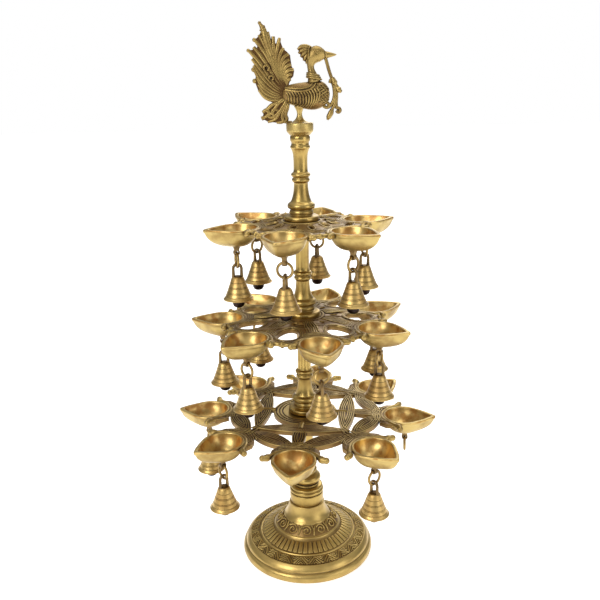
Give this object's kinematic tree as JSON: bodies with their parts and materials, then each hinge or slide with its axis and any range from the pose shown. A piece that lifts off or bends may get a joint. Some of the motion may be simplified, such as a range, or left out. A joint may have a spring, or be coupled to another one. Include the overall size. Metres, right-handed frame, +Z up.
{
  "type": "brass standing oil lamp samai",
  "caption": "Standing brass oil lamp that takes apart: a round base, turned stems, tiers of leaf-shaped oil cups with bells on loose rings, and a peacock finial",
  "frame": {"origin": "centre of the base's foot ring, on the surface the lamp stands on", "axes": "+Z up along the stems, +X the way the peacock faces, -Y towards the front"},
  "size_m": [0.298, 0.298, 0.602],
  "materials": {
    "base_brass": "cast brass, polished on the high spots with dark patina in the pattern",
    "turned_brass": "turned and polished brass",
    "tray_brass": "dull antique cast brass, cup hollows polished",
    "peacock_brass": "antique cast brass with dark patina in the engraving",
    "ring_brass": "dull brass wire",
    "bell_brass": "satin turned brass, darkened at the crown",
    "clapper_iron": "blackened iron"
  },
  "bodies": {
    "stand": {"base": "base_brass", "pedestal": "turned_brass", "lower_tray": "tray_brass", "lower_stem": "turned_brass", "middle_tray": "tray_brass", "middle_stem": "turned_brass", "upper_tray": "tray_brass", "upper_stem": "turned_brass", "peacock": "peacock_brass"},
    "lower_ring_2": {"lower_ring_2": "ring_brass"},
    "lower_bell_2": {"lower_bell_2": "bell_brass"},
    "lower_clapper_2": {"lower_clapper_2": "clapper_iron"},
    "lower_ring_3": {"lower_ring_3": "ring_brass"},
    "lower_ring_7": {"lower_ring_7": "ring_brass"},
    "lower_bell_7": {"lower_bell_7": "bell_brass"},
    "lower_clapper_7": {"lower_clapper_7": "clapper_iron"},
    "lower_ring_8": {"lower_ring_8": "ring_brass"},
    "lower_bell_8": {"lower_bell_8": "bell_brass"},
    "lower_clapper_8": {"lower_clapper_8": "clapper_iron"},
    "middle_ring_1": {"middle_ring_1": "ring_brass"},
    "middle_bell_1": {"middle_bell_1": "bell_brass"},
    "middle_clapper_1": {"middle_clapper_1": "clapper_iron"},
    "middle_ring_2": {"middle_ring_2": "ring_brass"},
    "middle_bell_2": {"middle_bell_2": "bell_brass"},
    "middle_clapper_2": {"middle_clapper_2": "clapper_iron"},
    "middle_ring_3": {"middle_ring_3": "ring_brass"},
    "middle_bell_3": {"middle_bell_3": "bell_brass"},
    "middle_clapper_3": {"middle_clapper_3": "clapper_iron"},
    "middle_ring_4": {"middle_ring_4": "ring_brass"},
    "middle_bell_4": {"middle_bell_4": "bell_brass"},
    "middle_clapper_4": {"middle_clapper_4": "clapper_iron"},
    "middle_ring_5": {"middle_ring_5": "ring_brass"},
    "middle_bell_5": {"middle_bell_5": "bell_brass"},
    "middle_clapper_5": {"middle_clapper_5": "clapper_iron"},
    "middle_ring_6": {"middle_ring_6": "ring_brass"},
    "middle_bell_6": {"middle_bell_6": "bell_brass"},
    "middle_clapper_6": {"middle_clapper_6": "clapper_iron"},
    "middle_ring_7": {"middle_ring_7": "ring_brass"},
    "middle_bell_7": {"middle_bell_7": "bell_brass"},
    "middle_clapper_7": {"middle_clapper_7": "clapper_iron"},
    "upper_ring_1": {"upper_ring_1": "ring_brass"},
    "upper_bell_1": {"upper_bell_1": "bell_brass"},
    "upper_clapper_1": {"upper_clapper_1": "clapper_iron"},
    "upper_ring_2": {"upper_ring_2": "ring_brass"},
    "upper_bell_2": {"upper_bell_2": "bell_brass"},
    "upper_clapper_2": {"upper_clapper_2": "clapper_iron"},
    "upper_ring_3": {"upper_ring_3": "ring_brass"},
    "upper_bell_3": {"upper_bell_3": "bell_brass"},
    "upper_clapper_3": {"upper_clapper_3": "clapper_iron"},
    "upper_ring_4": {"upper_ring_4": "ring_brass"},
    "upper_bell_4": {"upper_bell_4": "bell_brass"},
    "upper_clapper_4": {"upper_clapper_4": "clapper_iron"},
    "upper_ring_5": {"upper_ring_5": "ring_brass"},
    "upper_bell_5": {"upper_bell_5": "bell_brass"},
    "upper_clapper_5": {"upper_clapper_5": "clapper_iron"},
    "upper_ring_6": {"upper_ring_6": "ring_brass"},
    "upper_bell_6": {"upper_bell_6": "bell_brass"},
    "upper_clapper_6": {"upper_clapper_6": "clapper_iron"}
  },
  "joints": [
    {"name": "lower_ring_swing_2", "type": "hinge", "parent": "stand", "child": "lower_ring_2", "pos_m": [0.07137, -0.09017, 0.14935], "axis": [0.7841, 0.6206, 0], "range_deg": [-25, 25]},
    {"name": "lower_bell_swing_2", "type": "hinge", "parent": "lower_ring_2", "child": "lower_bell_2", "pos_m": [0.07137, -0.09017, 0.13365], "axis": [0.7841, 0.6206, 0], "range_deg": [-20, 20]},
    {"name": "lower_clapper_swing_2", "type": "hinge", "parent": "lower_bell_2", "child": "lower_clapper_2", "pos_m": [0.07137, -0.09017, 0.11905], "axis": [0.7841, 0.6206, 0], "range_deg": [-14, 14]},
    {"name": "lower_ring_swing_3", "type": "hinge", "parent": "stand", "child": "lower_ring_3", "pos_m": [0.11423, -0.0133, 0.14935], "axis": [0.1156, 0.9933, 0], "range_deg": [-25, 25]},
    {"name": "lower_ring_swing_7", "type": "hinge", "parent": "stand", "child": "lower_ring_7", "pos_m": [-0.11423, 0.0133, 0.14935], "axis": [-0.1156, -0.9933, 0], "range_deg": [-25, 25]},
    {"name": "lower_bell_swing_7", "type": "hinge", "parent": "lower_ring_7", "child": "lower_bell_7", "pos_m": [-0.11423, 0.0133, 0.13365], "axis": [-0.1156, -0.9933, 0], "range_deg": [-20, 20]},
    {"name": "lower_clapper_swing_7", "type": "hinge", "parent": "lower_bell_7", "child": "lower_clapper_7", "pos_m": [-0.11423, 0.0133, 0.11905], "axis": [-0.1156, -0.9933, 0], "range_deg": [-14, 14]},
    {"name": "lower_ring_swing_8", "type": "hinge", "parent": "stand", "child": "lower_ring_8", "pos_m": [-0.09017, -0.07137, 0.14935], "axis": [0.6206, -0.7841, 0], "range_deg": [-25, 25]},
    {"name": "lower_bell_swing_8", "type": "hinge", "parent": "lower_ring_8", "child": "lower_bell_8", "pos_m": [-0.09017, -0.07137, 0.13365], "axis": [0.6206, -0.7841, 0], "range_deg": [-20, 20]},
    {"name": "lower_clapper_swing_8", "type": "hinge", "parent": "lower_bell_8", "child": "lower_clapper_8", "pos_m": [-0.09017, -0.07137, 0.11905], "axis": [0.6206, -0.7841, 0], "range_deg": [-14, 14]},
    {"name": "middle_ring_swing_1", "type": "hinge", "parent": "stand", "child": "middle_ring_1", "pos_m": [0.01656, -0.08989, 0.26485], "axis": [0.9834, 0.1812, 0], "range_deg": [-25, 25]},
    {"name": "middle_bell_swing_1", "type": "hinge", "parent": "middle_ring_1", "child": "middle_bell_1", "pos_m": [0.01656, -0.08989, 0.24915], "axis": [0.9834, 0.1812, 0], "range_deg": [-20, 20]},
    {"name": "middle_clapper_swing_1", "type": "hinge", "parent": "middle_bell_1", "child": "middle_clapper_1", "pos_m": [0.01656, -0.08989, 0.23455], "axis": [0.9834, 0.1812, 0], "range_deg": [-14, 14]},
    {"name": "middle_ring_swing_2", "type": "hinge", "parent": "stand", "child": "middle_ring_2", "pos_m": [0.0806, -0.04309, 0.26485], "axis": [0.4715, 0.8819, 0], "range_deg": [-25, 25]},
    {"name": "middle_bell_swing_2", "type": "hinge", "parent": "middle_ring_2", "child": "middle_bell_2", "pos_m": [0.0806, -0.04309, 0.24915], "axis": [0.4715, 0.8819, 0], "range_deg": [-20, 20]},
    {"name": "middle_clapper_swing_2", "type": "hinge", "parent": "middle_bell_2", "child": "middle_clapper_2", "pos_m": [0.0806, -0.04309, 0.23455], "axis": [0.4715, 0.8819, 0], "range_deg": [-14, 14]},
    {"name": "middle_ring_swing_3", "type": "hinge", "parent": "stand", "child": "middle_ring_3", "pos_m": [0.08395, 0.03615, 0.26485], "axis": [-0.3955, 0.9185, 0], "range_deg": [-25, 25]},
    {"name": "middle_bell_swing_3", "type": "hinge", "parent": "middle_ring_3", "child": "middle_bell_3", "pos_m": [0.08395, 0.03615, 0.24915], "axis": [-0.3955, 0.9185, 0], "range_deg": [-20, 20]},
    {"name": "middle_clapper_swing_3", "type": "hinge", "parent": "middle_bell_3", "child": "middle_clapper_3", "pos_m": [0.08395, 0.03615, 0.23455], "axis": [-0.3955, 0.9185, 0], "range_deg": [-14, 14]},
    {"name": "middle_ring_swing_4", "type": "hinge", "parent": "stand", "child": "middle_ring_4", "pos_m": [0.02408, 0.08817, 0.26485], "axis": [-0.9647, 0.2634, 0], "range_deg": [-25, 25]},
    {"name": "middle_bell_swing_4", "type": "hinge", "parent": "middle_ring_4", "child": "middle_bell_4", "pos_m": [0.02408, 0.08817, 0.24915], "axis": [-0.9647, 0.2634, 0], "range_deg": [-20, 20]},
    {"name": "middle_clapper_swing_4", "type": "hinge", "parent": "middle_bell_4", "child": "middle_clapper_4", "pos_m": [0.02408, 0.08817, 0.23455], "axis": [-0.9647, 0.2634, 0], "range_deg": [-14, 14]},
    {"name": "middle_ring_swing_5", "type": "hinge", "parent": "stand", "child": "middle_ring_5", "pos_m": [-0.05392, 0.0738, 0.26485], "axis": [-0.8074, -0.59, 0], "range_deg": [-25, 25]},
    {"name": "middle_bell_swing_5", "type": "hinge", "parent": "middle_ring_5", "child": "middle_bell_5", "pos_m": [-0.05392, 0.0738, 0.24915], "axis": [-0.8074, -0.59, 0], "range_deg": [-20, 20]},
    {"name": "middle_clapper_swing_5", "type": "hinge", "parent": "middle_bell_5", "child": "middle_clapper_5", "pos_m": [-0.05392, 0.0738, 0.23455], "axis": [-0.8074, -0.59, 0], "range_deg": [-14, 14]},
    {"name": "middle_ring_swing_6", "type": "hinge", "parent": "stand", "child": "middle_ring_6", "pos_m": [-0.09132, 0.00385, 0.26485], "axis": [-0.0422, -0.9991, 0], "range_deg": [-25, 25]},
    {"name": "middle_bell_swing_6", "type": "hinge", "parent": "middle_ring_6", "child": "middle_bell_6", "pos_m": [-0.09132, 0.00385, 0.24915], "axis": [-0.0422, -0.9991, 0], "range_deg": [-20, 20]},
    {"name": "middle_clapper_swing_6", "type": "hinge", "parent": "middle_bell_6", "child": "middle_clapper_6", "pos_m": [-0.09132, 0.00385, 0.23455], "axis": [-0.0422, -0.9991, 0], "range_deg": [-14, 14]},
    {"name": "middle_ring_swing_7", "type": "hinge", "parent": "stand", "child": "middle_ring_7", "pos_m": [-0.05995, -0.06899, 0.26485], "axis": [0.7548, -0.6559, 0], "range_deg": [-25, 25]},
    {"name": "middle_bell_swing_7", "type": "hinge", "parent": "middle_ring_7", "child": "middle_bell_7", "pos_m": [-0.05995, -0.06899, 0.24915], "axis": [0.7548, -0.6559, 0], "range_deg": [-20, 20]},
    {"name": "middle_clapper_swing_7", "type": "hinge", "parent": "middle_bell_7", "child": "middle_clapper_7", "pos_m": [-0.05995, -0.06899, 0.23455], "axis": [0.7548, -0.6559, 0], "range_deg": [-14, 14]},
    {"name": "upper_ring_swing_1", "type": "hinge", "parent": "stand", "child": "upper_ring_1", "pos_m": [-0.01787, -0.07006, 0.37135], "axis": [0.969, -0.2472, 0], "range_deg": [-25, 25]},
    {"name": "upper_bell_swing_1", "type": "hinge", "parent": "upper_ring_1", "child": "upper_bell_1", "pos_m": [-0.01787, -0.07006, 0.35565], "axis": [0.969, -0.2472, 0], "range_deg": [-20, 20]},
    {"name": "upper_clapper_swing_1", "type": "hinge", "parent": "upper_bell_1", "child": "upper_clapper_1", "pos_m": [-0.01787, -0.07006, 0.34105], "axis": [0.969, -0.2472, 0], "range_deg": [-14, 14]},
    {"name": "upper_ring_swing_2", "type": "hinge", "parent": "stand", "child": "upper_ring_2", "pos_m": [0.05174, -0.0505, 0.37135], "axis": [0.6985, 0.7156, 0], "range_deg": [-25, 25]},
    {"name": "upper_bell_swing_2", "type": "hinge", "parent": "upper_ring_2", "child": "upper_bell_2", "pos_m": [0.05174, -0.0505, 0.35565], "axis": [0.6985, 0.7156, 0], "range_deg": [-20, 20]},
    {"name": "upper_clapper_swing_2", "type": "hinge", "parent": "upper_bell_2", "child": "upper_clapper_2", "pos_m": [0.05174, -0.0505, 0.34105], "axis": [0.6985, 0.7156, 0], "range_deg": [-14, 14]},
    {"name": "upper_ring_swing_3", "type": "hinge", "parent": "stand", "child": "upper_ring_3", "pos_m": [0.06961, 0.01955, 0.37135], "axis": [-0.2704, 0.9627, 0], "range_deg": [-25, 25]},
    {"name": "upper_bell_swing_3", "type": "hinge", "parent": "upper_ring_3", "child": "upper_bell_3", "pos_m": [0.06961, 0.01955, 0.35565], "axis": [-0.2704, 0.9627, 0], "range_deg": [-20, 20]},
    {"name": "upper_clapper_swing_3", "type": "hinge", "parent": "upper_bell_3", "child": "upper_clapper_3", "pos_m": [0.06961, 0.01955, 0.34105], "axis": [-0.2704, 0.9627, 0], "range_deg": [-14, 14]},
    {"name": "upper_ring_swing_4", "type": "hinge", "parent": "stand", "child": "upper_ring_4", "pos_m": [0.01787, 0.07006, 0.37135], "axis": [-0.969, 0.2472, 0], "range_deg": [-25, 25]},
    {"name": "upper_bell_swing_4", "type": "hinge", "parent": "upper_ring_4", "child": "upper_bell_4", "pos_m": [0.01787, 0.07006, 0.35565], "axis": [-0.969, 0.2472, 0], "range_deg": [-20, 20]},
    {"name": "upper_clapper_swing_4", "type": "hinge", "parent": "upper_bell_4", "child": "upper_clapper_4", "pos_m": [0.01787, 0.07006, 0.34105], "axis": [-0.969, 0.2472, 0], "range_deg": [-14, 14]},
    {"name": "upper_ring_swing_5", "type": "hinge", "parent": "stand", "child": "upper_ring_5", "pos_m": [-0.05174, 0.0505, 0.37135], "axis": [-0.6985, -0.7156, 0], "range_deg": [-25, 25]},
    {"name": "upper_bell_swing_5", "type": "hinge", "parent": "upper_ring_5", "child": "upper_bell_5", "pos_m": [-0.05174, 0.0505, 0.35565], "axis": [-0.6985, -0.7156, 0], "range_deg": [-20, 20]},
    {"name": "upper_clapper_swing_5", "type": "hinge", "parent": "upper_bell_5", "child": "upper_clapper_5", "pos_m": [-0.05174, 0.0505, 0.34105], "axis": [-0.6985, -0.7156, 0], "range_deg": [-14, 14]},
    {"name": "upper_ring_swing_6", "type": "hinge", "parent": "stand", "child": "upper_ring_6", "pos_m": [-0.06961, -0.01955, 0.37135], "axis": [0.2704, -0.9627, 0], "range_deg": [-25, 25]},
    {"name": "upper_bell_swing_6", "type": "hinge", "parent": "upper_ring_6", "child": "upper_bell_6", "pos_m": [-0.06961, -0.01955, 0.35565], "axis": [0.2704, -0.9627, 0], "range_deg": [-20, 20]},
    {"name": "upper_clapper_swing_6", "type": "hinge", "parent": "upper_bell_6", "child": "upper_clapper_6", "pos_m": [-0.06961, -0.01955, 0.34105], "axis": [0.2704, -0.9627, 0], "range_deg": [-14, 14]}
  ]
}
